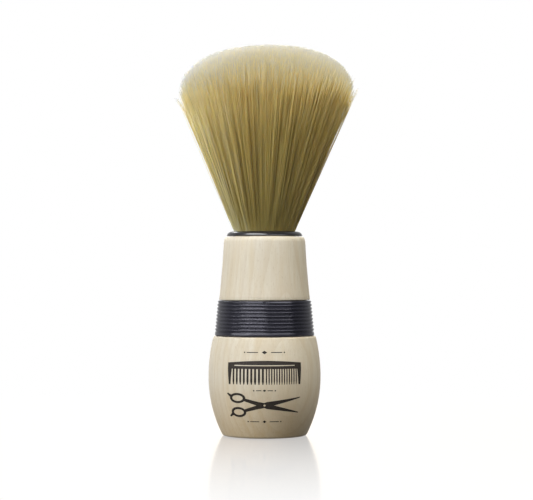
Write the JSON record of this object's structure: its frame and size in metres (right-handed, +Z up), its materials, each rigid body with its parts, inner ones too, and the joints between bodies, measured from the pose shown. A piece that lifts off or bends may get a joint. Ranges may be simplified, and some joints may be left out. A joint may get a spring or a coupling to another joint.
{
  "type": "neck duster brush",
  "caption": "Barber's neck duster: a turned wooden handle with a ribbed rubber grip and a flat foot, and a spreading fan of soft bristles for brushing off cut hair.",
  "frame": {"origin": "centre of the flat foot of the handle, on the surface the brush stands on", "axes": "+Z up along the turning axis, from the foot to the bristle tips; the printed emblem faces -Y"},
  "size_m": [0.0772, 0.0772, 0.17],
  "materials": {
    "wood": "fine sanded pale hardwood with a thin satin varnish",
    "grip_rubber": "satin black moulded rubber",
    "collar_plastic": "glossy black",
    "cup_plastic": "matt black moulded plastic",
    "resin": "clear amber cast resin",
    "thread": "waxed twine",
    "adhesive": "set glue",
    "bristle": "fine soft bristle, olive brown at the roots and cream at the tips",
    "print_ink": null
  },
  "bodies": {
    "root": {"handle": "wood", "grip_sleeve": "grip_rubber", "collar_ring": "collar_plastic", "knot_cup": "cup_plastic", "knot_resin": "resin", "binding_thread": "thread", "socket_adhesive": "adhesive", "bristle_fan": "bristle"}
  },
  "joints": []
}
